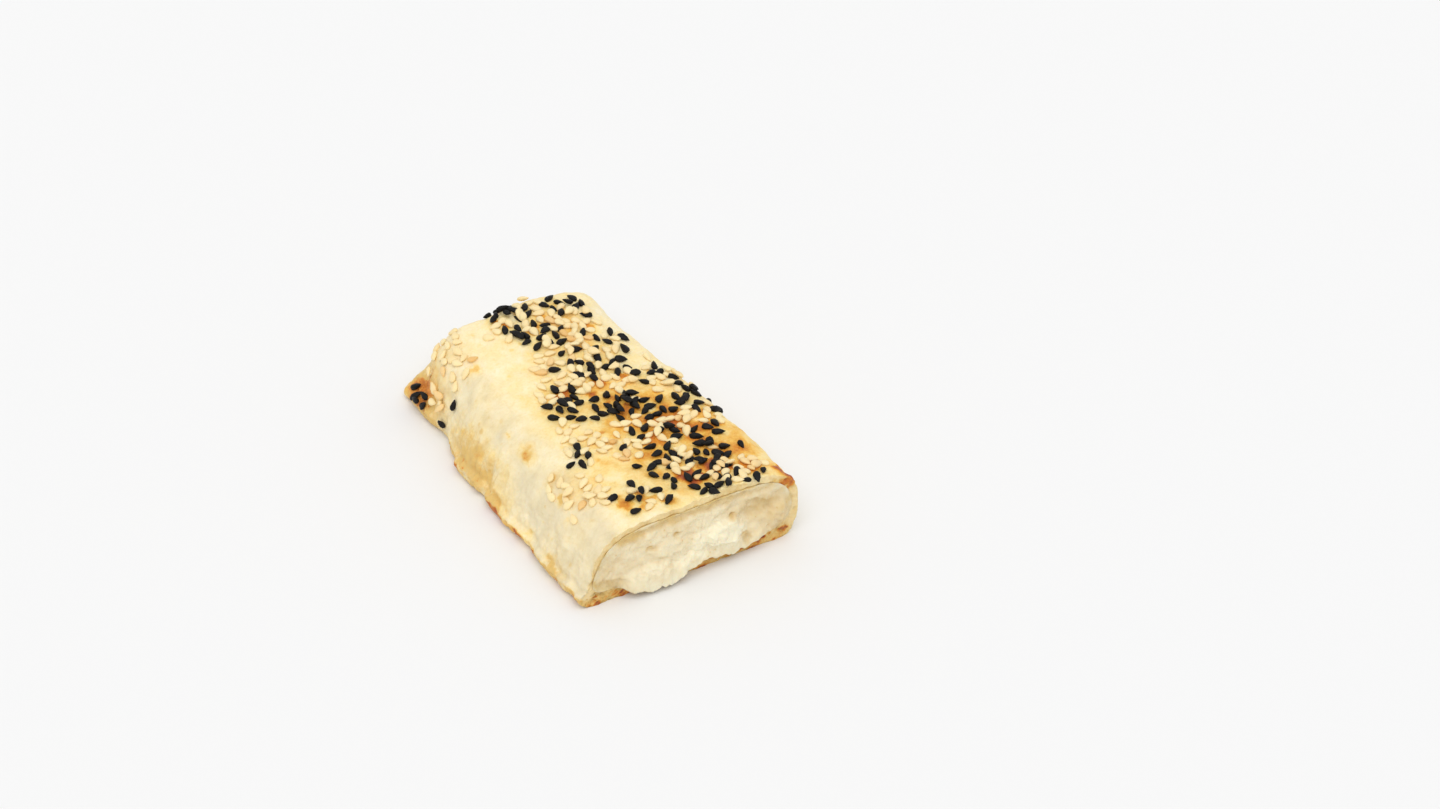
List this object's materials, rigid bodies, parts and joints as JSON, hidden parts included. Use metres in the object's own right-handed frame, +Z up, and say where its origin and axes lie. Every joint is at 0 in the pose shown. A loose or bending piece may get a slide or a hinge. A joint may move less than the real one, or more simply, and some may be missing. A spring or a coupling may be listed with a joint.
{
  "type": "cheese pastry",
  "caption": "Half of a baked pastry, cut across: a thin dough sheet folded over soft white cheese, pinched shut at the far end, topped with black and white seeds.",
  "frame": {"origin": "centre of the underside of the part's bounding box, on the surface it rests on", "axes": "+Y along the pastry from the cut to the pinched end, +X across it from the pinched side to the fold, +Z up"},
  "size_m": [0.063, 0.1014, 0.0234],
  "materials": {
    "baked_dough": "matt baked crust, pale cream with golden and red-brown toasted patches",
    "cheese": "moist, soft, off-white cheese with small pits",
    "nigella": "black seed coat with a slight gloss",
    "sesame": "hulled creamy white seed, some toasted golden"
  },
  "bodies": {
    "root": {"cheese_filling": "cheese", "folded_dough": "baked_dough", "nigella_seed_01": "nigella", "nigella_seed_02": "nigella", "nigella_seed_03": "nigella", "nigella_seed_04": "nigella", "nigella_seed_05": "nigella", "nigella_seed_06": "nigella", "nigella_seed_07": "nigella", "nigella_seed_08": "nigella", "nigella_seed_09": "nigella", "nigella_seed_10": "nigella", "nigella_seed_11": "nigella", "nigella_seed_12": "nigella", "nigella_seed_13": "nigella", "nigella_seed_14": "nigella", "nigella_seed_15": "nigella", "nigella_seed_16": "nigella", "nigella_seed_17": "nigella", "nigella_seed_18": "nigella", "nigella_seed_19": "nigella", "nigella_seed_20": "nigella", "nigella_seed_21": "nigella", "nigella_seed_22": "nigella", "nigella_seed_23": "nigella", "nigella_seed_24": "nigella", "nigella_seed_25": "nigella", "nigella_seed_26": "nigella", "sesame_seed_01": "sesame", "sesame_seed_02": "sesame", "sesame_seed_03": "sesame", "sesame_seed_04": "sesame", "sesame_seed_05": "sesame", "sesame_seed_06": "sesame", "sesame_seed_07": "sesame", "sesame_seed_08": "sesame", "sesame_seed_09": "sesame", "sesame_seed_10": "sesame", "sesame_seed_11": "sesame", "sesame_seed_12": "sesame", "sesame_seed_13": "sesame", "sesame_seed_14": "sesame", "sesame_seed_15": "sesame", "sesame_seed_16": "sesame", "sesame_seed_17": "sesame", "sesame_seed_18": "sesame", "sesame_seed_19": "sesame", "sesame_seed_20": "sesame", "sesame_seed_21": "sesame", "sesame_seed_22": "sesame", "sesame_seed_23": "sesame", "sesame_seed_24": "sesame", "sesame_seed_25": "sesame", "sesame_seed_26": "sesame", "sesame_seed_27": "sesame", "sesame_seed_28": "sesame", "sesame_seed_29": "sesame", "sesame_seed_30": "sesame"}
  },
  "joints": []
}
